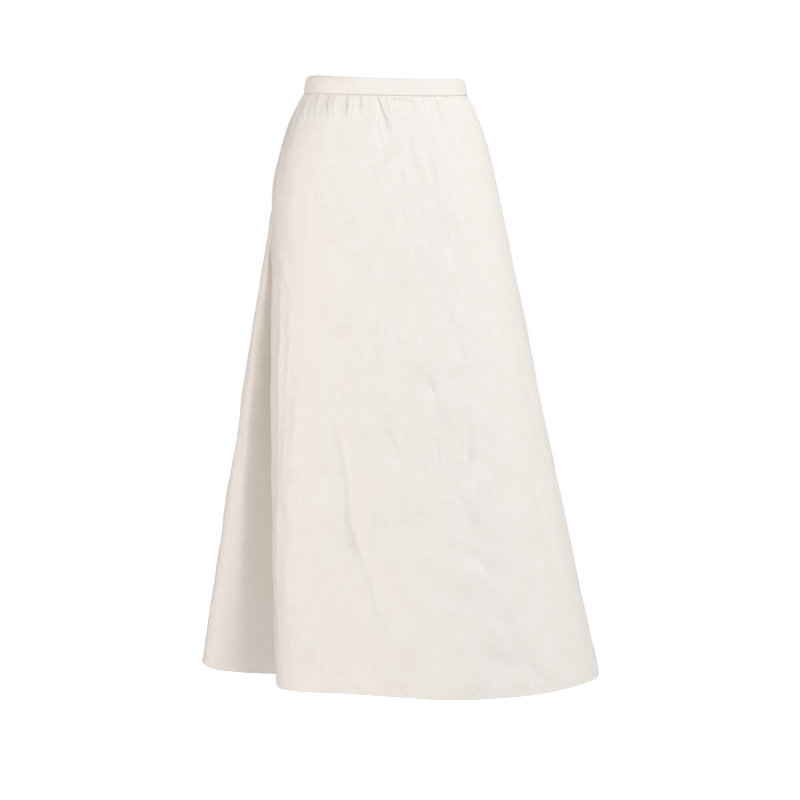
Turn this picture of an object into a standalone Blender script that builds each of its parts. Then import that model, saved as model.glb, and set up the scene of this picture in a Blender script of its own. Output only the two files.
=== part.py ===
"""A-line midi skirt in linen, filled out as it is when worn, open at the waist and at the hem.

Four cut pieces: a front and a back panel, and a waistband in two halves that meet at the side seams.
Metres, +Z up. The wearer faces -Y, and the origin is where the waist holds the skirt: the middle of
the waistband. Azimuth runs round the skirt in degrees: 0 at the wearer's front, 90 at their left
side, 180 at the back and 270 at their right side. Depth runs straight down from the waist seam.
"""
from collections import namedtuple

import bpy
import numpy as np

# Sizes of the waistband
BAND_HEIGHT = 0.0245
BAND_THICKNESS = 0.0024
WAIST_HALF_WIDTH = 0.1235
WAIST_HALF_DEPTH = 0.0955
BAND_TOP_HALF_WIDTH = 0.1195
BAND_TOP_HALF_DEPTH = 0.0920
WAIST_TILT = 0.055          # the waist sits lower in front: rise for each metre towards the back
ELASTIC_RIPPLES = 30        # round the back half of the band
ELASTIC_RIPPLE_HEIGHT = 0.0005

# Sizes of the two panels
SKIRT_LENGTH = 0.849        # waist seam to hem edge, straight down
CLOTH_THICKNESS = 0.0012
HEM_TURNING = 0.012         # the edge is folded up inside and is two layers thick
TURNING_STEP = 0.0015
CONE_HALF_WIDTH = 0.300     # the hem ring that the panels would make with no flutes
CONE_HALF_DEPTH = 0.250
SPRING_LENGTH = 0.040       # the cloth springs out under the band within about this depth
TILT_FADE = 0.200           # the tilt of the waist has gone by the hem, which is level
KNEE_DEPTH = 0.500
FLUTE_SOFTNESS = 0.08       # how gently a flute starts, as a share of its length
SEAM_GAP = 0.0003

# How finely the pieces are divided
RINGS = 16
RING_CROWDING = 1.7         # rings lie closer together near the gathers
FLAT_FRONT = 36             # degrees each side of the front with no gathers
FLAT_STEP = 4.0
GATHERED_STEP = 2.0
BAND_STEP = 1.5
BAND_RINGS = 2
SHARP_ANGLE = 0.7           # radians: the folds of the cloth stay smooth, its cut edges sharp

LINEN_COLOUR = (0.84, 0.79, 0.73, 1.0)
LINEN_ROUGHNESS = 0.92

# How far the cloth springs out under the band over the hips
Spring = namedtuple("Spring", "azimuth out")
SPRINGS = [
    Spring(-30, 0.013), Spring(15, 0.016), Spring(60, 0.021), Spring(105, 0.024),
    Spring(150, 0.030), Spring(195, 0.036), Spring(220, 0.043), Spring(249, 0.023), Spring(283, 0.027),
]

# Crests and hollows of the drape, in order round the skirt: the depth where each starts, and its radius
# at the knee and at the hem
Flute = namedtuple("Flute", "azimuth start knee hem")
FLUTES = [
    Flute(-72, 0.12, 0.208, 0.220), Flute(-62, 0.12, 0.206, 0.229), Flute(-45, 0.12, 0.193, 0.226),
    Flute(-28, 0.10, 0.191, 0.240), Flute(-10, 0.05, 0.201, 0.266), Flute(12, 0.05, 0.215, 0.290),
    Flute(35, 0.05, 0.223, 0.298), Flute(65, 0.02, 0.239, 0.314), Flute(95, 0.15, 0.232, 0.292),
    Flute(120, 0.17, 0.206, 0.240), Flute(145, 0.17, 0.214, 0.275), Flute(170, 0.17, 0.196, 0.240),
    Flute(195, 0.12, 0.218, 0.285), Flute(216, 0.05, 0.230, 0.284), Flute(228, 0.08, 0.205, 0.248),
    Flute(237, 0.12, 0.165, 0.168), Flute(247, 0.12, 0.138, 0.124), Flute(258, 0.12, 0.156, 0.140),
    Flute(268, 0.12, 0.184, 0.175), Flute(278, 0.12, 0.198, 0.199),
]

# The deep hollow by the right side folds back behind its crests: how far the cloth swings round, in degrees
Swing = namedtuple("Swing", "azimuth degrees")
SWINGS = [
    Swing(60, 0), Swing(120, 0), Swing(180, 0), Swing(200, 0), Swing(212, 5), Swing(222, 10), Swing(230, 5),
    Swing(238, -9), Swing(248, -15), Swing(258, -9), Swing(270, -1), Swing(290, 0), Swing(330, 0), Swing(380, 0),
]
SWING_LENGTH = 0.250        # it has swung most of the way by about this depth

# Gathers beside the flat front: troughs that run down from the waist seam. Lean is in degrees for each
# metre down
Gather = namedtuple("Gather", "azimuth depth length lean")
FRONT_GATHERS = [
    Gather(-84, 0.0022, 0.030, 0), Gather(-75, 0.0026, 0.034, -60), Gather(-61, 0.0028, 0.040, 0),
    Gather(-52, 0.0016, 0.016, 40), Gather(-39, 0.0024, 0.070, 180), Gather(40, 0.0024, 0.045, 120),
    Gather(52, 0.0018, 0.028, 0), Gather(63, 0.0026, 0.050, 30), Gather(75, 0.0022, 0.034, -20),
    Gather(85, 0.0026, 0.042, 0),
]
GATHER_HALF_WIDTH = 3.0     # degrees
GATHER_ONSET = 0.006        # they open within about this depth of the seam
BACK_GATHERS = 22           # between the side seams, round the back
BACK_GATHER_DEPTH = 0.0030
BACK_GATHER_LENGTH = 0.055
BACK_GATHER_LEAN = 20       # at most, degrees for each metre down
UNEVENNESS = 0.35           # share of the pitch, depth and length by which the back gathers differ
PLACE_RHYTHM = 2.4          # radians from one back gather to the next, in the swing of each difference
DEPTH_RHYTHM = 1.7
LENGTH_RHYTHM = 2.9

# Long soft troughs that run down the front, each between two azimuths and two depths
Trough = namedtuple("Trough", "top_azimuth foot_azimuth top foot depth half_width")
TROUGHS = [
    Trough(-53, -30, 0.42, 0.82, 0.0030, 7.0),
    Trough(-28, -15, 0.38, 0.62, 0.0022, 5.5),
    Trough(-11, 5, 0.34, 0.80, 0.0028, 6.5),
]


def ellipse_radius(azimuth, half_width, half_depth):
    """Radius of an ellipse in the direction of the azimuth."""
    angle = np.radians(azimuth)
    across = half_depth * np.sin(angle)
    along = half_width * np.cos(angle)
    return half_width * half_depth / np.hypot(across, along)


def smooth_loop(azimuths, values, azimuth):
    """A smooth closed curve through the values: a cubic between each two, with averaged slopes."""
    knots = np.array(azimuths, dtype=float)
    heights = np.array(values, dtype=float)
    gaps = np.diff(np.append(knots, knots[0] + 360))
    steps = np.diff(np.append(heights, heights[0])) / gaps
    gaps_before = np.roll(gaps, 1)
    slopes = (np.roll(steps, 1) * gaps + steps * gaps_before) / (gaps + gaps_before)
    turned = (azimuth - knots[0]) % 360 + knots[0]
    here = np.clip(np.searchsorted(knots, turned, side="right") - 1, 0, len(knots) - 1)
    after = (here + 1) % len(knots)
    t = (turned - knots[here]) / gaps[here]
    value_part = heights[here] * (2 * t**3 - 3 * t**2 + 1) + heights[after] * (3 * t**2 - 2 * t**3)
    slope_part = slopes[here] * (t**3 - 2 * t**2 + t) + slopes[after] * (t**3 - t**2)
    return value_part + slope_part * gaps[here]


def column(table, name):
    """One named column of a table, as a list."""
    return [getattr(row, name) for row in table]


def degrees_apart(azimuth, other):
    """Signed difference of two azimuths, between -180 and 180."""
    return (azimuth - other + 180) % 360 - 180


def back_gathers():
    """Gathers round the back, from one side seam to the other, uneven in place, depth and length."""
    rows = []
    pitch = 180 / BACK_GATHERS
    for number in range(BACK_GATHERS):
        sway = np.sin(PLACE_RHYTHM * number)
        azimuth = 90 + pitch * (number + 0.5 + UNEVENNESS / 2 * sway)
        depth = BACK_GATHER_DEPTH * (1 + UNEVENNESS * np.cos(DEPTH_RHYTHM * number))
        length = BACK_GATHER_LENGTH * (1 + UNEVENNESS * np.cos(LENGTH_RHYTHM * number))
        rows.append(Gather(azimuth, depth, length, BACK_GATHER_LEAN * sway))
    return rows


def gather_depth(azimuth, depth):
    """How far the gathers press the cloth in: a bell across each, opening and then fading downwards."""
    total = np.zeros_like(azimuth)
    for gather in FRONT_GATHERS + back_gathers():
        offset = degrees_apart(azimuth, gather.azimuth + gather.lean * depth)
        bell = np.exp(-(offset / GATHER_HALF_WIDTH) ** 2)
        fade = (1 - np.exp(-(depth / GATHER_ONSET) ** 2)) * np.exp(-(depth / gather.length) ** 1.5)
        total += gather.depth * bell * fade
    return total


def trough_depth(azimuth, depth):
    """How far the long troughs press the cloth in: a bell across, rising and falling along each."""
    total = np.zeros_like(azimuth)
    for trough in TROUGHS:
        along = np.clip((depth - trough.top) / (trough.foot - trough.top), 0, 1)
        middle = trough.top_azimuth + (trough.foot_azimuth - trough.top_azimuth) * along
        bell = np.exp(-(degrees_apart(azimuth, middle) / trough.half_width) ** 2)
        total += trough.depth * bell * np.sin(np.pi * along) ** 2
    return total


def cone_radius(azimuth, depth):
    """Radius with no flutes: the waist, the spring over the hips, and then straight lines to the hem ring."""
    waist = ellipse_radius(azimuth, WAIST_HALF_WIDTH, WAIST_HALF_DEPTH)
    hem = ellipse_radius(azimuth, CONE_HALF_WIDTH, CONE_HALF_DEPTH)
    spring = smooth_loop(column(SPRINGS, "azimuth"), column(SPRINGS, "out"), azimuth)
    sprung = waist + spring * (1 - np.exp(-depth / SPRING_LENGTH))
    return sprung + (hem - waist - spring) * depth / SKIRT_LENGTH


def flute_growth(depth, start):
    """How far down a flute a depth is, 0 at its start and 1 at the hem, with a gentle beginning."""
    down = np.clip((depth - start) / (SKIRT_LENGTH - start), 0, None)
    at_hem = np.hypot(1, FLUTE_SOFTNESS) - FLUTE_SOFTNESS
    return (np.hypot(down, FLUTE_SOFTNESS) - FLUTE_SOFTNESS) / at_hem


def panel_radius(azimuth, depth):
    """Radius of the cloth's outer face: the cone, bent through each flute's knee and hem, less the folds."""
    azimuths = column(FLUTES, "azimuth")
    start = smooth_loop(azimuths, column(FLUTES, "start"), azimuth)
    knee_out = smooth_loop(azimuths, column(FLUTES, "knee"), azimuth) - cone_radius(azimuth, KNEE_DEPTH)
    hem_out = smooth_loop(azimuths, column(FLUTES, "hem"), azimuth) - cone_radius(azimuth, SKIRT_LENGTH)
    down = flute_growth(depth, start)
    knee = flute_growth(KNEE_DEPTH, start)
    bend = knee_out * down * (1 - down) / (knee * (1 - knee)) + hem_out * down * (down - knee) / (1 - knee)
    return cone_radius(azimuth, depth) + bend - gather_depth(azimuth, depth) - trough_depth(azimuth, depth)


def panel_point(azimuth, depth):
    """Point of the cloth's outer face. The waist tilts, and the hem is level."""
    radius = panel_radius(azimuth, depth)
    swing = smooth_loop(column(SWINGS, "azimuth"), column(SWINGS, "degrees"), azimuth)
    angle = np.radians(azimuth + swing * (1 - np.exp(-(depth / SWING_LENGTH) ** 2)))
    x = radius * np.sin(angle)
    y = -radius * np.cos(angle)
    z = -BAND_HEIGHT / 2 - SEAM_GAP - depth + WAIST_TILT * y * np.exp(-depth / TILT_FADE)
    return np.stack([x, y, z], axis=-1)


def band_point(azimuth, rise, elastic):
    """Point in the middle of the band's thickness, from its lower edge, rise 0, to its top, rise 1."""
    half_width = WAIST_HALF_WIDTH + (BAND_TOP_HALF_WIDTH - WAIST_HALF_WIDTH) * rise
    half_depth = WAIST_HALF_DEPTH + (BAND_TOP_HALF_DEPTH - WAIST_HALF_DEPTH) * rise
    radius = ellipse_radius(azimuth, half_width, half_depth)
    ripple = np.cos(np.radians(azimuth - 90) * 2 * ELASTIC_RIPPLES) * np.sin(np.pi * rise)
    radius = radius + elastic * ELASTIC_RIPPLE_HEIGHT * ripple
    angle = np.radians(azimuth)
    x = radius * np.sin(angle)
    y = -radius * np.cos(angle)
    z = BAND_HEIGHT * (rise - 0.5) + WAIST_TILT * y
    return np.stack([x, y, z], axis=-1)


def seam_trimmed(azimuths, heights, surface):
    """A grid of azimuths whose two end columns stand half a seam gap back from the side seams."""
    grid = np.repeat(np.array([azimuths], dtype=float), len(heights), axis=0)
    turn = 0.1
    for end, inward in ((0, 1), (-1, -1)):
        edge = np.full(len(heights), float(azimuths[end]))
        travel = np.linalg.norm(surface(edge + turn, heights) - surface(edge, heights), axis=-1)
        grid[:, end] += inward * SEAM_GAP / 2 * turn / travel
    return grid


def outward(surface, azimuths, heights):
    """Unit vectors square to a surface, pointing away from the skirt's middle."""
    small = 1e-4
    here = surface(azimuths, heights)
    around = surface(azimuths + small, heights) - here
    along = surface(azimuths, heights + small) - here
    normals = np.cross(around, along)
    normals /= np.linalg.norm(normals, axis=-1, keepdims=True)
    away = np.sum(normals[..., :2] * here[..., :2], axis=-1, keepdims=True)
    return normals * np.sign(away.mean())


def cloth_object(name, outer, inner, collection, material):
    """A wall of cloth lofted round the skirt: each column is a closed section, outer face and inner face."""
    sections = np.concatenate([outer, inner[::-1]])
    rows, columns = sections.shape[:2]
    half = len(outer)
    index = np.arange(rows * columns).reshape(rows, columns)
    below = np.roll(index, -1, axis=0)
    quads = np.stack([below[:, :-1], below[:, 1:], index[:, 1:], index[:, :-1]], axis=-1).reshape(-1, 4)
    steps = np.arange(half - 1)
    facing = rows - 1 - steps
    first = index[:, 0]
    last = index[:, -1]
    start = np.stack([first[steps], first[facing], first[facing - 1], first[steps + 1]], axis=-1)
    end = np.stack([last[steps + 1], last[facing - 1], last[facing], last[steps]], axis=-1)
    faces = np.concatenate([quads, start, end])
    mesh = bpy.data.meshes.new(name)
    mesh.from_pydata(sections.reshape(-1, 3).tolist(), [], faces.tolist())
    mesh.shade_smooth()
    mesh.set_sharp_from_angle(angle=SHARP_ANGLE)
    mesh.materials.append(material)
    cloth = bpy.data.objects.new(name, mesh)
    collection.objects.link(cloth)
    return cloth


def linen_material(name):
    """Undyed linen, the colour of oatmeal milk."""
    material = bpy.data.materials.new(name)
    material.use_nodes = True
    shader = material.node_tree.nodes["Principled BSDF"]
    shader.inputs["Base Color"].default_value = LINEN_COLOUR
    shader.inputs["Roughness"].default_value = LINEN_ROUGHNESS
    shader.inputs["Metallic"].default_value = 0.0
    return material


def panel_azimuths(first, last):
    """Columns of a panel: close together in the gathers and wider apart across the flat front."""
    azimuths = [first]
    while azimuths[-1] < last - 1e-6:
        flat = -FLAT_FRONT <= azimuths[-1] < FLAT_FRONT
        azimuths.append(azimuths[-1] + (FLAT_STEP if flat else GATHERED_STEP))
    return azimuths


def make_panel(name, first, last, collection):
    """One panel between two side seams, with the turned hem a second layer on the inside."""
    depths = SKIRT_LENGTH * (np.arange(RINGS) / RINGS) ** RING_CROWDING
    turning_top = SKIRT_LENGTH - HEM_TURNING
    depths = np.append(depths, [turning_top - TURNING_STEP, turning_top, SKIRT_LENGTH])[:, None]
    layers = np.where(depths < turning_top, 1, 2)[..., None]
    azimuths = seam_trimmed(panel_azimuths(first, last), depths[:, 0], panel_point)
    outer = panel_point(azimuths, depths)
    inner = outer - layers * CLOTH_THICKNESS * outward(panel_point, azimuths, depths)
    return cloth_object(name, outer, inner, collection, linen_material(name + "_linen"))


def make_band(name, first, last, elastic, collection):
    """One half of the waistband, folded double, with the elastic's ripples in the back half."""
    rises = np.linspace(1, 0, BAND_RINGS + 1)[:, None]
    columns = np.linspace(first, last, round((last - first) / BAND_STEP) + 1)

    def surface(azimuth, rise):
        return band_point(azimuth, rise, elastic)

    azimuths = seam_trimmed(columns, rises[:, 0], surface)
    middle = surface(azimuths, rises)
    half_wall = BAND_THICKNESS / 2 * outward(surface, azimuths, rises)
    outer = middle + half_wall
    inner = middle - half_wall
    return cloth_object(name, outer, inner, collection, linen_material(name + "_linen"))


for item in list(bpy.data.objects):
    bpy.data.objects.remove(item, do_unlink=True)

skirt = bpy.data.collections.new("midi_skirt")
bpy.context.scene.collection.children.link(skirt)
make_panel("front_panel", -90, 90, skirt)
make_panel("back_panel", 90, 270, skirt)
make_band("waistband_front", -90, 90, 0, skirt)
make_band("waistband_back", 90, 270, 1, skirt)
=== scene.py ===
"""Looks of an A-line midi skirt in undyed linen, hollow and filled out as it is when worn.

Metres, +Z up. The wearer faces -Y, and the origin is the middle of the waistband. Azimuth runs round
the skirt in degrees: 0 at the wearer's front, 90 at their left side, 180 at the back, 270 or -90 at
their right side. Depth runs straight down from the waist seam.
"""
import math

import bpy
import numpy as np
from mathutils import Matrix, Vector


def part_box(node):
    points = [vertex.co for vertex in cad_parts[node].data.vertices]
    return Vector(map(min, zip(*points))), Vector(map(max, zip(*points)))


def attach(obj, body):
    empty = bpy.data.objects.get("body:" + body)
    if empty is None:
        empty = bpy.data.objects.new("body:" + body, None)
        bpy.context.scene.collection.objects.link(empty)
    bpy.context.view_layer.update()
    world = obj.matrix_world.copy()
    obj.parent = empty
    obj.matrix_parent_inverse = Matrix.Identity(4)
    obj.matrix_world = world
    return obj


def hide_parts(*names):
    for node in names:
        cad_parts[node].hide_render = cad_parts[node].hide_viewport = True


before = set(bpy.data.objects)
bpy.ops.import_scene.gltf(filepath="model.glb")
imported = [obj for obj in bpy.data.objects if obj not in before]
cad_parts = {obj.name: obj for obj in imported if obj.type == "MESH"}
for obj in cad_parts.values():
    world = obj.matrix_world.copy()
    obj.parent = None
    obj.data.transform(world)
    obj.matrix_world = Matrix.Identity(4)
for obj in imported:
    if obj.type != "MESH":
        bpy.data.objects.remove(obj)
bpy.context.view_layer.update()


# ------------------------------------------------------------------------------------------------
# The drape. Two flared linen panels hang from the waist: sprung out over the hips, gathered at the
# sides and the back, and falling to the hem in flutes, with a deep valley behind the wearer's right
# side. These sizes are those of the solids that the cloth replaces.

band_height = 0.0245
waist_half_width = 0.1235
waist_half_depth = 0.0955
waist_tilt = 0.055            # the waist sits lower in front: rise for each metre towards the back
tilt_fade = 0.200
seam_gap = 0.0003
panel_top = -band_height / 2 - seam_gap
skirt_length = panel_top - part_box("front_panel")[0][2]
cone_half_width = 0.300
cone_half_depth = 0.250
spring_length = 0.040
knee_depth = 0.500
flute_softness = 0.08


def table(columns, rows):
    """A small table with named columns."""
    return np.array(rows, dtype=[(name, float) for name in columns.split()])


springs = table("azimuth out", [
    (-30, 0.013), (15, 0.016), (60, 0.021), (105, 0.024), (150, 0.030),
    (195, 0.036), (220, 0.043), (249, 0.023), (283, 0.027),
])
flutes = table("azimuth start knee hem", [
    (-72, 0.12, 0.208, 0.220), (-62, 0.12, 0.206, 0.229), (-45, 0.12, 0.193, 0.226),
    (-28, 0.10, 0.191, 0.240), (-10, 0.05, 0.201, 0.266), (12, 0.05, 0.215, 0.290),
    (35, 0.05, 0.223, 0.298), (65, 0.02, 0.239, 0.314), (95, 0.15, 0.232, 0.292),
    (120, 0.17, 0.206, 0.240), (145, 0.17, 0.214, 0.275), (170, 0.17, 0.196, 0.240),
    (195, 0.12, 0.218, 0.285), (216, 0.05, 0.230, 0.284), (228, 0.08, 0.205, 0.248),
    (237, 0.12, 0.165, 0.168), (247, 0.12, 0.138, 0.124), (258, 0.12, 0.156, 0.140),
    (268, 0.12, 0.184, 0.175), (278, 0.12, 0.198, 0.199),
])
swings = table("azimuth swing", [
    (60, 0), (120, 0), (180, 0), (200, 0), (212, 5), (222, 10), (230, 5),
    (238, -9), (248, -15), (258, -9), (270, -1), (290, 0), (330, 0), (380, 0),
])
swing_length = 0.250
hem_hang = table("azimuth rise", [
    (-80, 0.0010), (-62, 0.0030), (-45, 0.0040), (-28, 0.0026), (-12, 0.0), (10, 0.0), (60, 0.0010),
    (120, 0.0), (165, 0.0), (190, 0.004), (206, 0.010), (216, 0.0105), (222, 0.0090), (226, 0.0045),
    (230, 0.0012), (234, -0.0026), (240, -0.0042), (250, -0.0042), (262, -0.0010),
])
front_gathers = table("azimuth depth length lean", [
    (-84, 0.0022, 0.030, 0), (-75, 0.0026, 0.034, -60), (-61, 0.0028, 0.040, 0),
    (-52, 0.0016, 0.016, 40), (-39, 0.0024, 0.070, 180), (40, 0.0024, 0.045, 120),
    (52, 0.0018, 0.028, 0), (63, 0.0026, 0.050, 30), (75, 0.0022, 0.034, -20),
    (85, 0.0026, 0.042, 0),
])
gather_half_width = 3.0
gather_onset = 0.006
back_gather_count = 22
back_gather_depth = 0.0030
back_gather_length = 0.055
back_gather_lean = 20
unevenness = 0.35
place_rhythm = 2.4
depth_rhythm = 1.7
length_rhythm = 2.9
long_troughs = table("top_azimuth foot_azimuth top foot depth half_width", [
    (-53, -30, 0.42, 0.82, 0.0030, 7.0),
    (-28, -15, 0.38, 0.62, 0.0022, 5.5),
    (-11, 5, 0.34, 0.80, 0.0028, 6.5),
])


def ellipse_radius(azimuth, half_width, half_depth):
    """Radius of an ellipse at an azimuth: the product of its halves over the length of the mixed pair."""
    angle = np.radians(azimuth)
    return half_width * half_depth / np.hypot(half_depth * np.sin(angle), half_width * np.cos(angle))


def smooth_loop(rows, column, azimuth):
    """A closed curve through one column of a table: a cubic between each two rows, with averaged slopes."""
    knots = rows["azimuth"]
    heights = rows[column]
    gaps = np.diff(np.append(knots, knots[0] + 360))
    steps = np.diff(np.append(heights, heights[0])) / gaps
    gaps_before = np.roll(gaps, 1)
    slopes = (np.roll(steps, 1) * gaps + steps * gaps_before) / (gaps + gaps_before)
    turned = (azimuth - knots[0]) % 360 + knots[0]
    here = np.clip(np.searchsorted(knots, turned, side="right") - 1, 0, len(knots) - 1)
    after = (here + 1) % len(knots)
    t = (turned - knots[here]) / gaps[here]
    value_part = heights[here] * (2 * t**3 - 3 * t**2 + 1) + heights[after] * (3 * t**2 - 2 * t**3)
    slope_part = slopes[here] * (t**3 - 2 * t**2 + t) + slopes[after] * (t**3 - t**2)
    return value_part + slope_part * gaps[here]


def degrees_apart(azimuth, other):
    """Signed difference of two azimuths, between -180 and 180."""
    return (azimuth - other + 180) % 360 - 180


def back_gathers():
    """Gathers from one side seam to the other round the back, uneven in place, depth, length and lean."""
    number = np.arange(back_gather_count)
    sway = np.sin(place_rhythm * number)
    rows = np.empty(back_gather_count, dtype=front_gathers.dtype)
    rows["azimuth"] = 90 + 180 / back_gather_count * (number + 0.5 + unevenness / 2 * sway)
    rows["depth"] = back_gather_depth * (1 + unevenness * np.cos(depth_rhythm * number))
    rows["length"] = back_gather_length * (1 + unevenness * np.cos(length_rhythm * number))
    rows["lean"] = back_gather_lean * sway
    return rows


def gathered_in(azimuth, depth):
    """How far the gathers press the cloth in: a bell across each, opening and then fading downwards."""
    total = np.zeros_like(azimuth)
    down = np.maximum(depth, 0)
    for row in np.concatenate([front_gathers, back_gathers()]):
        bell = np.exp(-(degrees_apart(azimuth, row["azimuth"] + row["lean"] * down) / gather_half_width) ** 2)
        opening = 1 - np.exp(-(down / gather_onset) ** 2)
        total += row["depth"] * bell * opening * np.exp(-(down / row["length"]) ** 1.5)
    return total


def troughed_in(azimuth, depth):
    """How far the long troughs press the cloth in: a bell across, rising and falling along each."""
    total = np.zeros_like(azimuth)
    for row in long_troughs:
        along = np.clip((depth - row["top"]) / (row["foot"] - row["top"]), 0, 1)
        middle = row["top_azimuth"] + (row["foot_azimuth"] - row["top_azimuth"]) * along
        bell = np.exp(-(degrees_apart(azimuth, middle) / row["half_width"]) ** 2)
        total += row["depth"] * bell * np.sin(np.pi * along) ** 2
    return total


def cone_radius(azimuth, depth):
    """Radius with no flutes: the waist, the spring over the hips, and straight lines to the hem ring."""
    waist = ellipse_radius(azimuth, waist_half_width, waist_half_depth)
    hem = ellipse_radius(azimuth, cone_half_width, cone_half_depth)
    spring = smooth_loop(springs, "out", azimuth)
    down = np.maximum(depth, 0)
    return waist + spring * (1 - np.exp(-down / spring_length)) + (hem - waist - spring) * down / skirt_length


def flute_growth(depth, start):
    """How far down a flute a depth is, 0 at its start and 1 at the hem, with a gentle beginning."""
    down = np.clip((depth - start) / (skirt_length - start), 0, None)
    at_hem = np.hypot(1, flute_softness) - flute_softness
    return (np.hypot(down, flute_softness) - flute_softness) / at_hem


def panel_radius(azimuth, depth):
    """The cone, bent through each flute's knee and hem by a parabola, less the gathers and the troughs."""
    start = smooth_loop(flutes, "start", azimuth)
    knee_out = smooth_loop(flutes, "knee", azimuth) - cone_radius(azimuth, knee_depth)
    hem_out = smooth_loop(flutes, "hem", azimuth) - cone_radius(azimuth, skirt_length)
    down = flute_growth(depth, start)
    knee = flute_growth(knee_depth, start)
    bend = knee_out * down * (1 - down) / (knee * (1 - knee)) + hem_out * down * (down - knee) / (1 - knee)
    return cone_radius(azimuth, depth) + bend - gathered_in(azimuth, depth) - troughed_in(azimuth, depth)


def panel_point(azimuth, depth):
    """Point of the drape: the radius turned to the azimuth and to its swing, which folds the deep hollow
    back behind its crests, as far down as the depth. The waist is tilted, and the hem hangs a few
    millimetres higher under the crests than under the hollows, growing as the cube of the depth."""
    radius = panel_radius(azimuth, depth)
    swung = smooth_loop(swings, "swing", azimuth) * (1 - np.exp(-(depth / swing_length) ** 2))
    x = radius * np.sin(np.radians(azimuth + swung))
    y = -radius * np.cos(np.radians(azimuth + swung))
    rise = smooth_loop(hem_hang, "rise", azimuth) * np.clip(depth / skirt_length, 0, None) ** 3
    z = panel_top - depth + waist_tilt * y * np.exp(-depth / tilt_fade) + rise
    return np.stack([x, y, z], axis=-1)


def outward(surface, azimuth, height):
    """Unit vectors square to a surface: the cross product of two small steps, turned away from the axis."""
    small = 1e-4
    here = surface(azimuth, height)
    around = surface(azimuth + small, height) - here
    along = surface(azimuth, height + small) - here
    normals = np.cross(around, along)
    normals /= np.linalg.norm(normals, axis=-1, keepdims=True)
    away = np.sum(normals[..., :2] * here[..., :2], axis=-1)
    return normals * np.sign(away.mean())


# ------------------------------------------------------------------------------------------------
# The hand of the linen. Soft creases from wearing and pressing lie over the drape as ridges and
# troughs, pinches and puffs sit under the band, and the cloth between them is crumpled. The seams
# pucker a little, and the hem has rolled over its stitching.

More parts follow.
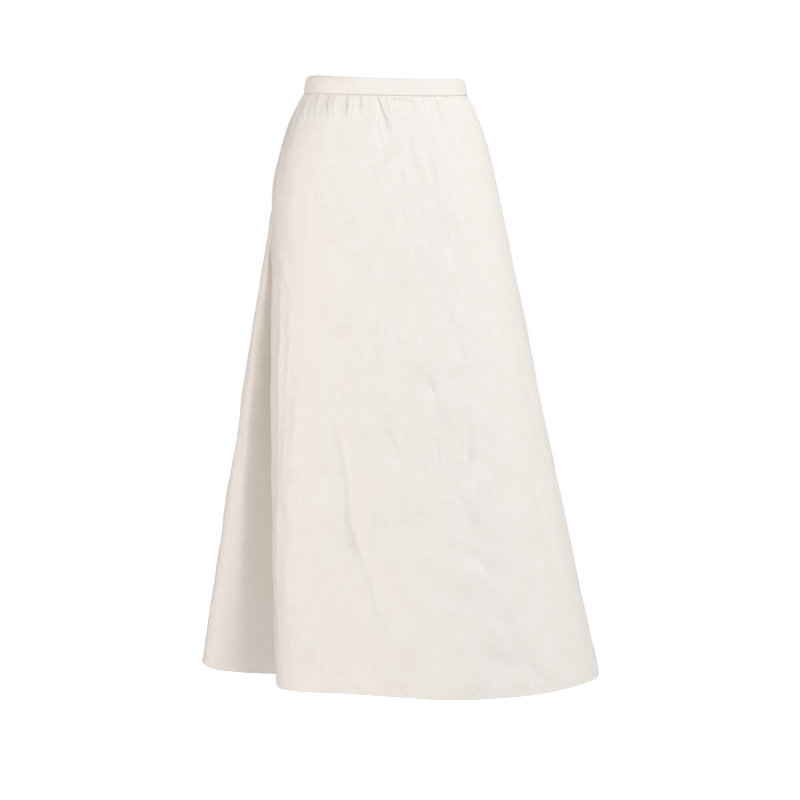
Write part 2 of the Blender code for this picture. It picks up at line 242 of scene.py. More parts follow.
hem_turning = 0.012
onset_depth = 0.006           # above this the band holds the cloth smooth
crumples = table("height around down seed slant", [
    # cells round and down the skirt, and degrees round for each metre down
    (0.00110, 30, 14, 11, 0), (0.00210, 64, 26, 12, 110), (0.00090, 130, 56, 13, 110),
])
crumpled_least = 0.4
crumpled_middle = -18
crumpled_fade = 45
seam_swell = 0.0014
seam_swell_depth = 0.0020
seam_swell_half = 0.0022
seam_swell_start = -64
waist_pucker = 0.00030
waist_pucker_fade = 0.012
side_pucker = 0.00035
side_pucker_reach = 0.009
hem_rope = 0.00022
hem_rope_reach = 0.012
stitch_groove = 0.00022
stitch_groove_half = 0.0009
stitch_line = skirt_length - 0.0100
creases = table("azimuth depth end_azimuth end_depth bow height half_width", [
    # the crest that turns into the valley, and the edge of the first flute beside it
    (225, 0.200, 232, 0.880, 0.000, 0.0030, 0.0100),
    (-90, 0.215, -72, 0.305, 0.004, 0.0032, 0.0084),
    (-84, 0.230, -79, 0.560, 0.002, 0.0035, 0.0105),
    (-79, 0.480, -76, 0.820, -0.002, 0.0032, 0.0114),
    (-70, 0.260, -72, 0.600, -0.003, -0.0018, 0.0103),
    # a long broken one down the wearer's right front
    (-53, 0.460, -45, 0.560, 0.003, -0.0035, 0.0079),
    (-47, 0.530, -44, 0.625, 0.002, -0.0033, 0.0070),
    (-45, 0.590, -38, 0.680, -0.002, -0.0037, 0.0088),
    (-40, 0.640, -32, 0.745, 0.003, -0.0042, 0.0091),
    (-35, 0.715, -26, 0.780, 0.002, -0.0035, 0.0079),
    (-38, 0.560, -36, 0.660, 0.002, 0.0024, 0.0096),
    # the middle of the front
    (-36, 0.400, -28, 0.470, 0.002, -0.0024, 0.0073),
    (-31, 0.450, -22, 0.525, -0.002, -0.0039, 0.0077),
    (-19, 0.515, -13, 0.548, 0.001, -0.0032, 0.0063),
    (-18, 0.420, -17, 0.470, 0.001, -0.0023, 0.0070),
    (-10, 0.398, -6.5, 0.436, 0.000, -0.0039, 0.0053),
    (-8, 0.430, -6, 0.500, 0.001, -0.0024, 0.0105),
    (-8, 0.478, 3, 0.550, -0.002, -0.0028, 0.0073),
    (-9, 0.480, -8, 0.545, 0.001, -0.0028, 0.0073),
    (5, 0.455, 1, 0.565, 0.003, -0.0032, 0.0079),
    (-4, 0.540, 6, 0.660, 0.004, -0.0028, 0.0105),
    (-1, 0.640, 13, 0.690, -0.003, -0.0028, 0.0084),
    (-17, 0.630, -10, 0.690, 0.003, 0.0024, 0.0079),
    (-26, 0.660, -18, 0.720, -0.003, 0.0021, 0.0105),
    (-13, 0.172, 4, 0.188, 0.002, -0.0018, 0.0084),
    (-22, 0.240, -14, 0.330, 0.003, -0.0016, 0.0123),
    (-44, 0.180, -36, 0.300, 0.004, 0.0015, 0.0103),
    (-60, 0.350, -52, 0.500, 0.003, 0.0018, 0.0103),
    (10, 0.250, 16, 0.360, -0.003, 0.0014, 0.0103),
    (18, 0.400, 14, 0.560, 0.004, 0.0018, 0.0092),
    (24, 0.560, 30, 0.680, -0.004, -0.0021, 0.0123),
    (42, 0.120, 36, 0.420, 0.006, 0.0018, 0.0184),
    (34, 0.480, 42, 0.760, -0.006, -0.0021, 0.0138),
    # above the hem
    (0, 0.785, 17, 0.815, -0.003, -0.0032, 0.0079),
    (12, 0.800, 22, 0.840, 0.002, -0.0024, 0.0070),
    (-35, 0.800, -31, 0.846, 0.001, -0.0032, 0.0079),
    (-31, 0.805, -24, 0.845, 0.002, 0.0032, 0.0066),
    (-60, 0.760, -54, 0.842, 0.002, -0.0024, 0.0088),
    (-12, 0.790, -7, 0.835, 0.001, -0.0021, 0.0079),
    # wearer's left side and back
    (70, 0.180, 66, 0.420, 0.005, 0.0021, 0.0138),
    (62, 0.440, 70, 0.560, -0.003, -0.0032, 0.0088),
    (84, 0.300, 92, 0.520, -0.004, -0.0024, 0.0103),
    (80, 0.640, 86, 0.760, 0.003, -0.0032, 0.0096),
    (98, 0.150, 104, 0.300, 0.004, 0.0019, 0.0103),
    (110, 0.480, 118, 0.600, 0.004, -0.0035, 0.0096),
    (116, 0.590, 121, 0.720, -0.003, -0.0032, 0.0105),
    (128, 0.260, 134, 0.450, -0.004, 0.0021, 0.0103),
    (140, 0.620, 152, 0.790, 0.004, -0.0032, 0.0123),
    (158, 0.180, 152, 0.360, 0.005, 0.0019, 0.0115),
    (148, 0.420, 156, 0.520, 0.003, -0.0032, 0.0088),
    (166, 0.420, 176, 0.560, -0.004, -0.0032, 0.0096),
    (172, 0.740, 182, 0.830, 0.003, 0.0028, 0.0088),
    (186, 0.220, 192, 0.400, 0.004, -0.0023, 0.0103),
    (196, 0.520, 203, 0.630, -0.004, -0.0035, 0.0096),
    (202, 0.620, 207, 0.750, 0.003, -0.0032, 0.0105),
    (208, 0.160, 204, 0.330, 0.003, 0.0018, 0.0103),
    (214, 0.420, 220, 0.560, 0.003, -0.0028, 0.0123),
])
tucks = table("azimuth depth end_azimuth end_depth bow height half_width", [
    # the pinches right under the band, deepest at the wearer's right side
    (-99, -0.020, -97, 0.040, 0.001, -0.0028, 0.0018),
    (-93, -0.010, -91, 0.016, 0.000, -0.0016, 0.0011),
    (-91, -0.020, -80.5, 0.048, -0.002, -0.0040, 0.0021),
    (-77, -0.020, -66, 0.036, -0.001, -0.0034, 0.0017),
    (-61, -0.020, -55, 0.038, 0.000, -0.0034, 0.0016),
    (-50.5, -0.016, -46.5, 0.028, 0.000, -0.0026, 0.0015),
    (-40, -0.014, -23, 0.060, -0.002, -0.0022, 0.0017),
    (-33, -0.014, -24, 0.040, -0.001, -0.0014, 0.0014),
    # the puffs between them
    (-82, -0.016, -72, 0.048, -0.001, 0.0026, 0.0038),
    (-68.5, -0.010, -63, 0.030, 0.000, 0.0018, 0.0028),
    (-54, -0.010, -50.5, 0.034, 0.000, 0.0018, 0.0030),
    (-28, -0.002, -18, 0.036, 0.000, 0.0010, 0.0040),
    (58, -0.002, 59, 0.030, 0.000, 0.0012, 0.0034),
    (71, -0.002, 70, 0.032, 0.000, 0.0012, 0.0034),
    (115, -0.002, 116, 0.034, 0.000, 0.0014, 0.0034),
    (153, -0.002, 153, 0.032, 0.000, 0.0014, 0.0034),
    (190, -0.002, 191, 0.034, 0.000, 0.0014, 0.0034),
    (229, -0.002, 230, 0.034, 0.000, 0.0014, 0.0034),
    (-20, -0.010, -17, 0.030, 0.000, -0.0006, 0.0026),
    (-10, -0.010, -8, 0.026, 0.000, -0.0006, 0.0026),
    (1, -0.010, 2, 0.028, 0.000, -0.0007, 0.0024),
    (14, -0.010, 15, 0.020, 0.000, -0.0006, 0.0024),
    (28, -0.010, 26, 0.030, 0.000, -0.0007, 0.0026),
    (43, -0.010, 37, 0.040, 0.000, -0.0016, 0.0018),
    (53, -0.010, 51, 0.026, 0.000, -0.0014, 0.0013),
    (63, -0.012, 66, 0.040, 0.000, -0.0024, 0.0015),
    (77, -0.010, 75, 0.026, 0.000, -0.0018, 0.0013),
    (84, -0.012, 87, 0.036, 0.000, -0.0024, 0.0015),
    (96, -0.012, 95, 0.040, 0.000, -0.0026, 0.0016),
    (109, -0.010, 110, 0.030, 0.000, -0.0020, 0.0014),
    (121, -0.012, 123, 0.044, 0.001, -0.0026, 0.0016),
    (134, -0.010, 132, 0.028, 0.000, -0.0018, 0.0014),
    (146, -0.012, 147, 0.038, 0.000, -0.0026, 0.0016),
    (159, -0.010, 161, 0.030, 0.000, -0.0018, 0.0014),
    (171, -0.012, 169, 0.046, 0.001, -0.0026, 0.0016),
    (184, -0.010, 185, 0.026, 0.000, -0.0018, 0.0014),
    (196, -0.012, 199, 0.040, 0.000, -0.0026, 0.0016),
    (209, -0.010, 208, 0.032, 0.000, -0.0020, 0.0014),
    (222, -0.012, 224, 0.044, 0.001, -0.0026, 0.0016),
    (236, -0.010, 235, 0.028, 0.000, -0.0020, 0.0014),
    (248, -0.012, 251, 0.038, 0.000, -0.0026, 0.0016),
])


def crease_relief(azimuth, depth, radius, rows):
    """Height of each crease, added up: its line runs between two points and bows sideways as a parabola.
    Across the line it is a bell with shallow shoulders of the other sign, and it dies at both ends."""
    total = np.zeros_like(azimuth)
    for row in rows:
        x = np.radians(degrees_apart(azimuth, row["azimuth"])) * radius
        y = depth - row["depth"]
        run_x = np.radians(row["end_azimuth"] - row["azimuth"]) * radius
        run_y = row["end_depth"] - row["depth"]
        run = np.hypot(run_x, run_y)
        along = (x * run_x + y * run_y) / run**2
        across = (x * run_y - y * run_x) / run - row["bow"] * 4 * along * (1 - along)
        q = (across / row["half_width"]) ** 2
        swell = np.clip(1 - (2 * along - 1) ** 2, 0, None) ** 1.5
        total += row["height"] * (1 - 0.45 * q) * np.exp(-q) * swell
    return total


def uneven(azimuth, depth, around, down, seed):
    """Seeded heights between -1 and 1 on a net of cells round and down the skirt, joined by smooth steps."""
    net = np.random.default_rng(seed).uniform(-1, 1, (down + 3, around))
    across = azimuth % 360 / 360 * around
    below = (np.clip(depth, -0.02, None) + 0.02) / (skirt_length + 0.02) * down
    i = np.floor(across).astype(int)
    j = np.floor(below).astype(int)
    s = across - i
    t = below - j
    s = s * s * (3 - 2 * s)
    t = t * t * (3 - 2 * t)
    left = net[j, i % around] * (1 - t) + net[j + 1, i % around] * t
    right = net[j, (i + 1) % around] * (1 - t) + net[j + 1, (i + 1) % around] * t
    return left * (1 - s) + right * s


def panel_relief(azimuth, depth):
    """Fine height of the cloth over the drape: creases and tucks, three sizes of crumples, strongest on
    the wearer's right front, a swell under the flat part of the band, puckers at the waist, side seams
    and hem, and the groove that the hem stitches press."""
    radius = cone_radius(azimuth, depth)
    under_band = np.clip(depth / onset_depth, 0, 1) ** 2
    relief = crease_relief(azimuth, depth, radius, creases)
    relief += crease_relief(azimuth, depth, radius, tucks) * np.clip(0.25 + depth / 0.004, 0, 1)
    nearness = np.clip(1.5 - np.abs(degrees_apart(azimuth, crumpled_middle)) / crumpled_fade, 0, 1)
    crumpled = under_band * (crumpled_least + (1 - crumpled_least) * nearness)
    for row in crumples:
        slanted = azimuth - row["slant"] * depth
        cells = uneven(slanted, depth, int(row["around"]), int(row["down"]), int(row["seed"]))
        relief += crumpled * row["height"] * cells
    at_seam = np.exp(-((depth - seam_swell_depth) / seam_swell_half) ** 2)
    relief += seam_swell * at_seam * np.clip(degrees_apart(azimuth, seam_swell_start) / 30, 0, 1)
    gathered = 0.25 + 0.75 * np.clip(np.abs(degrees_apart(azimuth, 0)) / 35 - 1, 0, 1)
    waist_fade = np.exp(-np.clip(depth, 0, None) / waist_pucker_fade)
    relief += waist_pucker * gathered * uneven(azimuth, depth, 150, 40, 14) * waist_fade
    from_side = np.abs(np.abs(degrees_apart(azimuth, 0)) - 90) * np.radians(1) * radius
    relief += side_pucker * uneven(azimuth, depth, 8, 46, 15) * np.exp(-(from_side / side_pucker_reach) ** 2)
    above_hem = skirt_length - depth
    roping = np.sin(azimuth * 2.35 + 160 * above_hem) * (0.5 + 0.5 * uneven(azimuth, depth, 40, 1, 16))
    relief += hem_rope * roping * np.exp(-(above_hem / hem_rope_reach) ** 2)
    relief -= stitch_groove * np.exp(-((depth - stitch_line) / stitch_groove_half) ** 2)
    return relief


# ------------------------------------------------------------------------------------------------
# Linen. Undyed flax in a plain weave, about 17 yarns to the centimetre, spun unevenly: slubs run
# both ways, some yarns are darker, and the cloth is matte with a faint bloom. One group of nodes
# draws it, and the panels, the band and the thread take their own values.


def add_node(tree, kind, inputs=(), **settings):
    """A shader node with its settings, and with each input given a value or the socket that feeds it."""
    node = tree.nodes.new("ShaderNode" + kind)
    for name, value in settings.items():
        setattr(node, name, value)
    for socket, value in dict(inputs).items():
        if isinstance(value, bpy.types.NodeSocket):
            tree.links.new(value, node.inputs[socket])
        else:
            node.inputs[socket].default_value = value
    return node


def mixed(tree, operation, first, second):
    """The output of a Math node on two numbers or sockets."""
    return add_node(tree, "Math", {0: first, 1: second}, operation=operation).outputs[0]


def stretched_noise(tree, place, across, along, detail):
    """Noise drawn out along one direction of the cloth: a metre over across by a metre over along."""
    spread = add_node(tree, "Mapping", {"Vector": place, "Scale": (across, along, 1)})
    noise = add_node(tree, "TexNoise", {"Vector": spread.outputs[0], "Scale": 1.0, "Detail": detail},
                     noise_dimensions="2D")
    return noise.outputs["Fac"]


def ranged(tree, value, low, high):
    """The value, stretched so that low gives 0 and high gives 1, and held between them."""
    return add_node(tree, "MapRange", {"Value": value, "From Min": low, "From Max": high}).outputs[0]


def make_weave_group():
    """Plain weave on the flat cloth: yarns as rows of pillows, with slubs, darker yarns and clouds."""
    group = bpy.data.node_groups.new("linen_weave", "ShaderNodeTree")
    sockets = [("Place", "NodeSocketVector"), ("Yarns per metre", "NodeSocketFloat"),
               ("Slubs", "NodeSocketFloat"), ("Pale yarn", "NodeSocketColor"),
               ("Dark yarn", "NodeSocketColor")]
    for name, kind in sockets:
        group.interface.new_socket(name, in_out="INPUT", socket_type=kind)
    group.interface.new_socket("Colour", in_out="OUTPUT", socket_type="NodeSocketColor")
    group.interface.new_socket("Height", in_out="OUTPUT", socket_type="NodeSocketFloat")
    given = group.nodes.new("NodeGroupInput").outputs
    result = group.nodes.new("NodeGroupOutput")
    place = given["Place"]

    wander = add_node(group, "TexNoise", {"Vector": place, "Scale": 90.0, "Detail": 1.0},
                      noise_dimensions="2D")
    shift = mixed(group, "MULTIPLY", mixed(group, "SUBTRACT", wander.outputs["Fac"], 0.5), 0.0016)
    axes = add_node(group, "SeparateXYZ", {"Vector": place}).outputs
    yarn = []
    for axis in (0, 1):
        count = mixed(group, "MULTIPLY", mixed(group, "ADD", axes[axis], shift), given["Yarns per metre"])
        wave = mixed(group, "SINE", mixed(group, "MULTIPLY", count, math.pi), 0.0)
        yarn.append(mixed(group, "ABSOLUTE", wave, 0.0))
    pillows = mixed(group, "MULTIPLY", yarn[0], yarn[1])

    warp_tone = stretched_noise(group, place, 620, 26, 2.0)
    weft_tone = stretched_noise(group, place, 24, 560, 2.0)
    warp_slub = ranged(group, stretched_noise(group, place, 540, 75, 1.0), 0.60, 0.74)
    weft_slub = ranged(group, stretched_noise(group, place, 70, 500, 1.0), 0.60, 0.74)
    slub = mixed(group, "MULTIPLY", mixed(group, "MAXIMUM", warp_slub, weft_slub), given["Slubs"])
    cloud = add_node(group, "TexNoise", {"Vector": place, "Scale": 30.0, "Detail": 3.0},
                     noise_dimensions="2D")

    warp_half = mixed(group, "MULTIPLY", warp_tone, 0.5)
    weft_half = mixed(group, "MULTIPLY", weft_tone, 0.5)
    streaks = mixed(group, "ADD", warp_half, weft_half)
    darkness = mixed(group, "ADD", mixed(group, "MULTIPLY", ranged(group, streaks, 0.36, 0.64), 0.55),
                     mixed(group, "MULTIPLY", ranged(group, cloud.outputs["Fac"], 0.3, 0.7), 0.30))
    darkness = mixed(group, "ADD", darkness, mixed(group, "MULTIPLY", slub, 0.30))
    tones = {0: darkness, 6: given["Pale yarn"], 7: given["Dark yarn"]}
    colour = add_node(group, "Mix", tones, data_type="RGBA")
    group.links.new(colour.outputs[2], result.inputs["Colour"])

    height = mixed(group, "ADD", mixed(group, "MULTIPLY", pillows, 0.35),
                   mixed(group, "MULTIPLY", streaks, 0.50))
    height = mixed(group, "ADD", height, mixed(group, "MULTIPLY", slub, 0.55))
    group.links.new(height, result.inputs["Height"])
    return group


weave = make_weave_group()


def linen_material(name, pale, dark, yarns_per_metre, slubs, relief):
    """Matte linen with a faint bloom: the weave group gives its colour, and its height as bump."""
    material = bpy.data.materials.new(name)
    material.use_nodes = True
    tree = material.node_tree
    shader = tree.nodes["Principled BSDF"]
    shader.inputs["Roughness"].default_value = 0.92
    shader.inputs["Specular IOR Level"].default_value = 0.25
    shader.inputs["Sheen Weight"].default_value = 0.08
    shader.inputs["Sheen Roughness"].default_value = 0.6
    place = add_node(tree, "UVMap", uv_map="cut")
    drawn = tree.nodes.new("ShaderNodeGroup")
    drawn.node_tree = weave
    tree.links.new(place.outputs[0], drawn.inputs["Place"])
    drawn.inputs["Yarns per metre"].default_value = yarns_per_metre
    drawn.inputs["Slubs"].default_value = slubs
    drawn.inputs["Pale yarn"].default_value = (*pale, 1)
    drawn.inputs["Dark yarn"].default_value = (*dark, 1)
    bump = add_node(tree, "Bump", {"Height": drawn.outputs["Height"], "Strength": 1.0, "Distance": relief})
    tree.links.new(drawn.outputs["Colour"], shader.inputs["Base Color"])
    tree.links.new(bump.outputs[0], shader.inputs["Normal"])
    return material


pale_flax = (0.806, 0.756, 0.704)
dark_flax = (0.766, 0.706, 0.642)
panel_linen = linen_material("panel_linen", pale_flax, dark_flax, 1700, 1.0, 0.00012)


# ------------------------------------------------------------------------------------------------
# Panels. The front and the back are each one flared piece of linen. The top goes up inside the
# waistband, the sides turn in along the side seams, and the lower edge is folded up inside by
# 12 mm and sewn, so the hem is two layers thick.

cloth_thickness = 0.0007
fold_radius = 0.00075
tucked_in_band = 0.0040
near_waist_depth = 0.040
near_waist_step = 0.0017
fall_rows = 92
fall_share = 1.05
fall_margin = 0.060
hem_rows_height = 0.0195
seam_roll = table("inset turn", [
    (0.00000, 0.0030), (0.00000, 0.0013), (0.00006, 0.00055), (0.00022, 0.00024),
    (0.00060, 0.00005), (0.00120, 0.0), (0.00300, 0.0),
])


def section_rows():
    """The cloth's own path from its top edge down the outside, round the hem fold and up the inside:
    the depth, the layer, 0 outside and 1 inside, and the thickness between the two at each row."""
    near_waist = np.arange(-tucked_in_band, near_waist_depth, near_waist_step)
    share = np.linspace(0, 1, fall_rows)[:-1] ** fall_share
    fall = near_waist_depth + (skirt_length - fall_margin) * share
    above_stitches = np.linspace(skirt_length - hem_rows_height, stitch_line, 7)
    below_stitches = np.linspace(stitch_line, skirt_length - fold_radius, 8)[1:]
    outside = np.concatenate([near_waist, fall, above_stitches, below_stitches])
    turn = np.linspace(0, np.pi, 8)[1:-1]
    fold = skirt_length - fold_radius * (1 - np.sin(turn))
    depth = np.concatenate([outside, fold, outside[::-1]])
    layer = np.concatenate([np.zeros(len(outside)), (1 - np.cos(turn)) / 2, np.ones(len(outside))])
    double = depth > skirt_length - hem_turning
    return depth[:, None], layer[:, None], np.where(double, 2 * fold_radius, cloth_thickness)[:, None]


def panel_columns(first, last):
    """Azimuth, inset and turn of each column: the rolled seam edges, and between them columns that
    crowd round every tuck. Each takes an equal share of a density that is summed from bells."""
    fine = np.linspace(first + 2, last - 2, 4000)
    density = np.full(4000, plain_density)
    for row in tucks:
        middle = (row["azimuth"] + row["end_azimuth"]) / 2
        reach = 1.2 + np.abs(row["end_azimuth"] - row["azimuth"]) / 2
        density = np.maximum(density, tuck_density * np.exp(-(degrees_apart(fine, middle) / reach) ** 4))
    passed = np.append(0, np.cumsum((density[1:] + density[:-1]) / 2 * np.diff(fine)))
    inner = np.interp(np.linspace(0, passed[-1], round(passed[-1]) + 1), passed, fine)
    plain = np.zeros(len(inner))
    edge = np.ones(len(seam_roll))
    azimuth = np.concatenate([edge * first, inner, edge * last])
    rolled_in = seam_gap / 2 + seam_roll["inset"]
    inset = np.concatenate([rolled_in, plain, -rolled_in[::-1]])
    turn = np.concatenate([seam_roll["turn"], plain, seam_roll["turn"][::-1]])
    return azimuth[None, :], inset[None, :], turn[None, :]


def flat_place(azimuth, depth, middle, waist_width, hem_width):
    """Place on the flat cut, a sector of a ring: the angle grows with azimuth and the radius with depth."""
    ring = waist_width * skirt_length / (hem_width - waist_width)
    angle = degrees_apart(azimuth, middle) / 180 * (hem_width - waist_width) / skirt_length
    return np.stack([(ring + depth) * np.sin(angle), -(ring + depth) * np.cos(angle) + ring], axis=-1)


def cloth_piece(name, sections, places, material):
    """A closed wall lofted through its columns: each is a closed loop of rows, and the two end loops are
    filled with a strip between facing rows. The places on the flat cloth become its UV map."""
    rows, columns = sections.shape[:2]
    index = np.arange(rows * columns).reshape(rows, columns)
    below = np.roll(index, -1, axis=0)
    wall = np.stack([below[:, :-1], below[:, 1:], index[:, 1:], index[:, :-1]], axis=-1).reshape(-1, 4)
    steps = np.arange(rows // 2 - 1)
    facing = rows - 1 - steps
    first = index[:, 0]
    last = index[:, -1]
    start = np.stack([first[steps], first[facing], first[facing - 1], first[steps + 1]], axis=-1)
    end = np.stack([last[steps + 1], last[facing - 1], last[facing], last[steps]], axis=-1)
    faces = np.concatenate([wall, start, end])
    mesh = bpy.data.meshes.new(name)
    mesh.from_pydata(sections.reshape(-1, 3).tolist(), [], faces.tolist())
    mesh.uv_layers.new(name="cut").data.foreach_set("uv", places.reshape(-1, 2)[faces.ravel()].ravel())
    mesh.shade_smooth()
    mesh.materials.append(material)
    piece = bpy.data.objects.new(name, mesh)
    bpy.context.scene.collection.objects.link(piece)
    return piece


def length_along(points):
    """Length of the line through a row of points."""
    return np.linalg.norm(np.diff(points, axis=0), axis=-1).sum()


def stitch_row(line, away):
    """Dashes of thread along a line of points, standing off it to one side: tubes that follow the line,
    rise from the cloth and dip back as a root of a sine. Gives their points, faces and places."""
    travelled = np.append(0, np.cumsum(np.linalg.norm(np.diff(line, axis=0), axis=-1)))
    start = np.arange(stitch_pitch, travelled[-1] - 2 * stitch_pitch, stitch_pitch)
    along = np.linspace(0, 1, 7)
    at = start[:, None] + stitch_length * along
    middle = np.stack([np.interp(at, travelled, line[:, axis]) for axis in range(3)], axis=-1)
    up = np.stack([np.interp(at, travelled, away[:, axis]) for axis in range(3)], axis=-1)
    forward = np.gradient(middle, axis=1)
    side = np.cross(forward, up)
    up /= np.linalg.norm(up, axis=-1, keepdims=True)
    side /= np.linalg.norm(side, axis=-1, keepdims=True)
    rise = np.sqrt(np.sin(np.pi * along))
    centre = middle + up * (thread_radius * (1.2 * rise - 0.7))[:, None]
    turn = np.arange(6) * np.pi / 3
    ring = up[:, :, None] * np.cos(turn)[:, None] + side[:, :, None] * np.sin(turn)[:, None]
    radius = thread_radius * (0.3 + 0.7 * rise)
    points = centre[:, :, None] + ring * radius[:, None, None]
    places = np.stack(np.broadcast_arrays(at[..., None], turn * thread_radius), axis=-1)
    index = np.arange(points.size // 3).reshape(points.shape[:3])
    beside = np.roll(index, -1, axis=2)
    tubes = np.stack([index[:, :-1], beside[:, :-1], beside[:, 1:], index[:, 1:]], axis=-1).reshape(-1, 4)
    ends = np.concatenate([index[:, 0, ::-1], index[:, -1]])
    return points.reshape(-1, 3), tubes, ends, places.reshape(-1, 2)


def make_stitches(name, rows):
    """The hem stitches of one panel, outside and inside, as one piece."""
    points = []
    faces = []
    places = []
    for line, away in rows:
        row_points, tubes, ends, row_places = stitch_row(line, away)
        first = sum(len(part) for part in points)
        faces += (tubes + first).tolist() + (ends + first).tolist()
        points.append(row_points)
        places.append(row_places)
    mesh = bpy.data.meshes.new(name)
    mesh.from_pydata(np.concatenate(points).tolist(), [], faces)
    corners = np.concatenate([np.array(face) for face in faces])
    mesh.uv_layers.new(name="cut").data.foreach_set("uv", np.concatenate(places)[corners].ravel())
    mesh.shade_smooth()
    mesh.materials.append(thread_linen)
    stitches = bpy.data.objects.new(name, mesh)
    bpy.context.scene.collection.objects.link(stitches)
    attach(stitches, "root")
    return stitches


def make_panel(name, first, last, columns):
    """One panel: the drape, pushed along its normals by the fine relief and by the cloth's thickness."""
    depth, layer, thickness = section_rows()
    azimuth, inset, turn = columns
    edge = np.broadcast_to(azimuth, (len(depth), azimuth.shape[1]))
    down = np.broadcast_to(depth, edge.shape)
    degrees_per_metre = 0.1 / np.linalg.norm(panel_point(edge + 0.1, down) - panel_point(edge, down), axis=-1)
    inner_inset = np.sign(inset) * np.maximum(np.abs(inset), thickness)
    spun = edge + degrees_per_metre * (inset * (1 - layer) + inner_inset * layer)
    pressed = turn * (1 - layer) + np.maximum(turn, thickness) * layer
    lift = panel_relief(spun, down) - pressed
    normals = outward(panel_point, spun, down)
    points = panel_point(spun, down) + lift[..., None] * normals

    round_waist = np.linspace(first, last, 400)
    waist_width = length_along(panel_point(round_waist, np.zeros(400))) * gather_fullness
    hem_width = length_along(panel_point(round_waist, np.full(400, skirt_length)))
    places = flat_place(spun, down, (first + last) / 2, waist_width, hem_width)
    piece = cloth_piece(name + "_linen", points, places, panel_linen)
    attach(piece, "root")
    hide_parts(name)
    sewn = np.flatnonzero(np.isclose(depth[:, 0], stitch_line))
    stitches = make_stitches(name[:-6] + "_hem_stitches", [
        (points[sewn[0]], normals[sewn[0]]), (points[sewn[-1]], -normals[sewn[-1]]),
    ])


gather_fullness = 1.08
stitch_pitch = 0.0032
stitch_length = 0.0025
thread_radius = 0.00024
pale_thread = (0.860, 0.815, 0.760)
dark_thread = (0.780, 0.715, 0.645)
thread_linen = linen_material("thread_linen", pale_thread, dark_thread, 3600, 0.3, 0.00010)
plain_density = 1.30
tuck_density = 2.5
make_panel("front_panel", -90, 90, panel_columns(-90, 90))
make_panel("back_panel", 90, 270, panel_columns(90, 270))


# ------------------------------------------------------------------------------------------------
# Waistband. A straight strip of the same linen, folded over at the top, with the panels caught
# between its two layers. The front half is flat and the back half is drawn up on elastic, so it
# ripples. The halves meet at the side seams.

band_taper_width = 0.1195 - waist_half_width
band_taper_depth = 0.0920 - waist_half_depth
band_half_thickness = 0.0015
band_hollow = 0.0008
lip_round = 0.0006
climb_rows = 15
fold_rows = 10
settling = 0.0056
settled_middle = 165.0
settled_reach = 108.0
elastic_ripples = 30
elastic_ripple_height = 0.0008


def band_point(azimuth, rise):
    """Middle of the band's thickness, from rise 0 at its lower edge to 1 at the top: an ellipse that
    narrows upwards and curls in at the fold, most at the sides, on the tilted waist. The top settles a
    little round the back, as a curve of the fourth order from side to side."""
    risen = np.clip(rise, 0, 1)
    curl = (0.0008 + 0.0026 * np.sin(np.radians(azimuth)) ** 2) * risen ** 7
    radius = ellipse_radius(azimuth, waist_half_width + band_taper_width * rise,
                            waist_half_depth + band_taper_depth * rise) - curl
    sunk = np.clip(1 - (degrees_apart(azimuth, settled_middle) / settled_reach) ** 4, 0, None)
    settled = settling * sunk * risen ** 2
    x = radius * np.sin(np.radians(azimuth))
    y = -radius * np.cos(np.radians(azimuth))
    return np.stack([x, y, band_height * (rise - 0.5) - settled + waist_tilt * y], axis=-1)


def band_section():
    """Rise and distance out from the middle, in metres, round the folded strip: up the outer face, over
    the fold, down the inner face, then back between the layers, with a rounded lip at each lower edge."""
    tall = band_height - band_half_thickness
    climb = np.linspace(lip_round, tall, climb_rows)
    over = np.linspace(0, np.pi, fold_rows + 2)[1:-1]
    fold = band_half_thickness * np.stack([np.sin(over), np.cos(over)])
    lip = (band_half_thickness + band_hollow) / 2
    face = np.full(climb_rows, band_half_thickness)
    rise = np.concatenate([[0.0], climb, tall + fold[0], climb[::-1], [0.0]])
    out = np.concatenate([[lip], face, fold[1], -face, [-lip]])
    scale = band_hollow / band_half_thickness
    hidden_rise = np.concatenate([[lip_round], climb, tall + fold[0] * scale, climb[::-1], [lip_round]])
    hidden_rise[[1, -2]] = (climb[0] + climb[1]) / 2
    hidden_out = np.clip(out, -band_hollow, band_hollow)
    hidden_out[climb_rows + 1:climb_rows + 1 + fold_rows] = fold[1] * scale
    all_rise = np.concatenate([rise, hidden_rise[::-1]])
    all_out = np.concatenate([out, hidden_out[::-1]])
    return all_rise[:, None], all_out[:, None]


def band_relief(azimuth, rise, elastic):
    """Fine height of the band: ripples of uneven pitch and height where the elastic draws it up, and
    elsewhere faint unevenness and small dents along the seam."""
    sway = uneven(azimuth, rise * 0, 24, 1, 21)
    ripple = np.cos(np.radians(azimuth - 90) * 2 * elastic_ripples + 1.6 * sway)
    strength = 0.7 + 0.3 * uneven(azimuth, rise * 0, 36, 1, 22)
    from_side = np.abs(np.abs(degrees_apart(azimuth, 0)) - 90)
    relief = elastic * elastic_ripple_height * ripple * strength * np.clip(from_side / 6, 0, 1)
    relief *= np.sin(np.pi * np.clip(0.12 + 0.8 * rise, 0, 1))
    relief += 0.00022 * uneven(azimuth, rise * skirt_length, 60, 3, 23)
    relief += 0.00012 * uneven(azimuth, rise * skirt_length, 150, 4, 24)
    beside = np.clip(np.abs(degrees_apart(azimuth, 0)) / 35 - 1, 0, 1)
    dents = np.clip(uneven(azimuth, rise * 0, 110, 1, 25), 0, 1)
    relief -= 0.00030 * beside * dents * np.exp(-(rise / 0.22) ** 2)
    return relief


band_linen = linen_material("band_linen", pale_flax, dark_flax, 1750, 0.8, 0.00010)


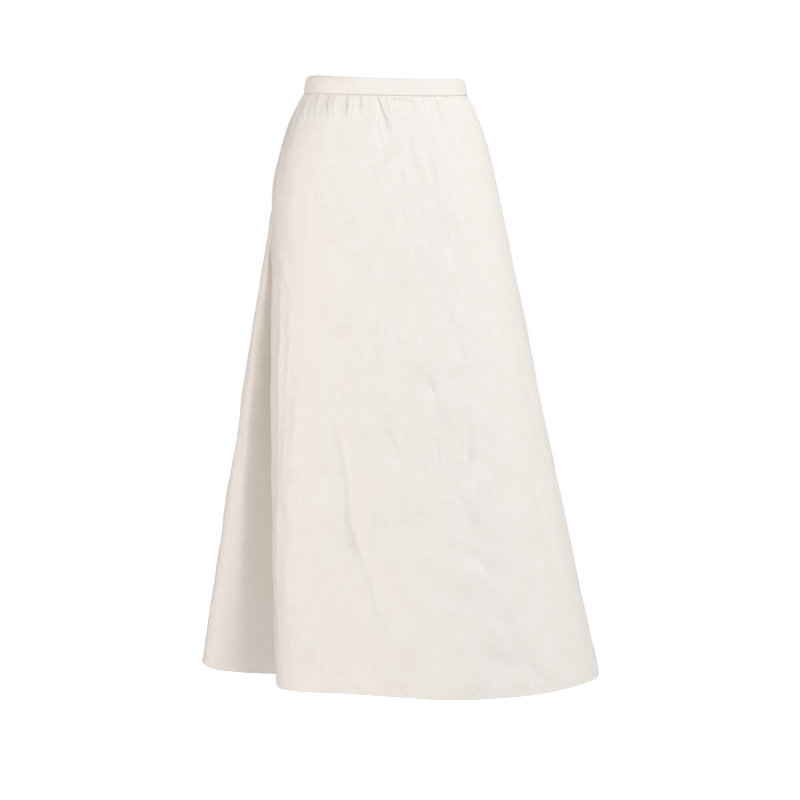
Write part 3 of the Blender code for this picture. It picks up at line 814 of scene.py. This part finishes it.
def make_band(name, first, last, elastic):
    """Half of the waistband, its ends rounded off where they meet at the side seams."""
    rise, out = band_section()
    inner = np.arange(first + 2.0, last - 2.0 + 1e-6, 0.8)
    edge = np.ones(5)
    azimuth = np.concatenate([edge * first, inner, edge * last])[None, :]
    inset = seam_gap / 2 + np.array([0.0, 0.00006, 0.00022, 0.00060, 0.00300])
    pinch = np.array([0.00060, 0.00035, 0.00015, 0.00003, 0.0])
    plain = np.zeros(len(inner))
    metres_per_degree = np.radians(1) * ellipse_radius(first, waist_half_width, waist_half_depth)
    spun = azimuth + np.concatenate([inset, plain, -inset[::-1]])[None, :] / metres_per_degree
    pinched = np.concatenate([pinch, plain, pinch[::-1]])[None, :]
    share = np.broadcast_to(rise / band_height, (len(rise), spun.shape[1]))
    spun = np.broadcast_to(spun, share.shape)
    lift = out - np.sign(out) * np.minimum(pinched, np.abs(out)) + band_relief(spun, share, elastic)
    points = band_point(spun, share) + lift[..., None] * outward(band_point, spun, share)
    round_band = length_along(band_point(np.linspace(first, last, 400), np.full(400, 0.5)))
    cut_width = round_band * (1 + elastic * (elastic_fullness - 1))
    along = degrees_apart(spun, (first + last) / 2) / 180 * cut_width
    over_fold = np.where(out < 0, 2 - share, share) * band_height
    piece = cloth_piece(name + "_linen", points, np.stack([along, over_fold], axis=-1), band_linen)
    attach(piece, "root")
    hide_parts(name)


elastic_fullness = 1.15
make_band("waistband_front", -90, 90, 0)
make_band("waistband_back", 90, 270, 1)


# ------------------------------------------------------------------------------------------------
# Studio. The skirt hangs at the height of a wearer's waist over a plain pale floor, in an even,
# bright, soft light with a little more of it from the right in front. The camera stands level with
# the high hip and looks at the skirt from 30 degrees to its wearer's right.

photo_turn = math.radians(-30)
camera_distance = 5.2
camera_height = -0.11225
aim_height = -0.43225
metres_per_pixel = 0.00146
image_width = 800
aim_column = 386
aim_row = 382
floor_height = -1.06


def in_photo_frame(right, away, up):
    """A point given to the right, away from the camera and up, as the camera sees the skirt's origin."""
    x = right * math.cos(photo_turn) - away * math.sin(photo_turn)
    y = right * math.sin(photo_turn) + away * math.cos(photo_turn)
    return Vector((x, y, up))


def facing(place, target):
    """The turn that points an object's -Z at the target, with its Y up."""
    return (target - place).to_track_quat("-Z", "Y").to_euler()


def make_camera():
    """The camera at the photo's angle, with the lens that gives the photo's size and frame."""
    camera = bpy.data.cameras.new("camera")
    eye = bpy.data.objects.new("camera", camera)
    bpy.context.scene.collection.objects.link(eye)
    aim = in_photo_frame(0, 0, aim_height)
    eye.location = in_photo_frame(0, -camera_distance, camera_height)
    eye.rotation_euler = facing(eye.location, aim)
    camera.sensor_width = 36
    camera.lens = camera.sensor_width * (aim - eye.location).length / (metres_per_pixel * image_width)
    camera.shift_x = (image_width / 2 - aim_column) / image_width
    camera.shift_y = (aim_row - image_width / 2) / image_width
    bpy.context.scene.camera = eye


def make_lamp(name, right, away, up, width, height, power, colour):
    """A wide soft light that looks at the middle of the skirt."""
    lamp = bpy.data.lights.new(name, "AREA")
    lamp.shape = "RECTANGLE"
    lamp.size = width
    lamp.size_y = height
    lamp.energy = power
    lamp.color = colour
    stand = bpy.data.objects.new(name, lamp)
    bpy.context.scene.collection.objects.link(stand)
    stand.location = in_photo_frame(right, away, up)
    stand.rotation_euler = facing(stand.location, Vector((0, 0, aim_height)))


def make_surroundings(brightness):
    """An even white room: bright white where the camera sees it, a little less as light on the cloth."""
    world = bpy.data.worlds.new("white_room")
    bpy.context.scene.world = world
    world.use_nodes = True
    tree = world.node_tree
    tree.nodes.clear()
    ray = add_node(tree, "LightPath")
    lit = add_node(tree, "Background", {"Color": (1, 1, 1, 1), "Strength": brightness})
    seen = add_node(tree, "Background", {"Color": (1, 1, 1, 1), "Strength": 1.0})
    chosen = add_node(tree, "MixShader",
                      {0: ray.outputs["Is Camera Ray"], 1: lit.outputs[0], 2: seen.outputs[0]})
    add_node(tree, "OutputWorld", {0: chosen.outputs[0]})


def make_floor(half):
    """A plain white floor that the camera sees as bright as the room, so that no shadow darkens it."""
    corners = [(-half, -half, floor_height), (half, -half, floor_height),
               (half, half, floor_height), (-half, half, floor_height)]
    mesh = bpy.data.meshes.new("floor")
    mesh.from_pydata(corners, [], [(0, 1, 2, 3)])
    material = bpy.data.materials.new("floor_white")
    material.use_nodes = True
    shader = material.node_tree.nodes["Principled BSDF"]
    ray = add_node(material.node_tree, "LightPath")
    material.node_tree.links.new(ray.outputs["Is Camera Ray"], shader.inputs["Emission Strength"])
    shader.inputs["Base Color"].default_value = (0.92, 0.92, 0.92, 1)
    shader.inputs["Roughness"].default_value = 1.0
    shader.inputs["Specular IOR Level"].default_value = 0.0
    shader.inputs["Emission Color"].default_value = (1, 1, 1, 1)
    mesh.materials.append(material)
    floor = bpy.data.objects.new("floor", mesh)
    bpy.context.scene.collection.objects.link(floor)


make_camera()
make_lamp("front", 1.02, -2.79, 2.54, 2.6, 2.6, 110, (0.95, 1.0, 1.06))
make_lamp("right", 3.58, -0.63, 1.67, 2.6, 2.6, 89, (1.02, 1.0, 1.01))
make_lamp("left", -3.55, -2.05, -0.50, 2.6, 1.1, 93, (1.04, 1.0, 0.98))
make_surroundings(0.08)
make_floor(8.0)
bpy.context.scene.view_settings.view_transform = "Standard"
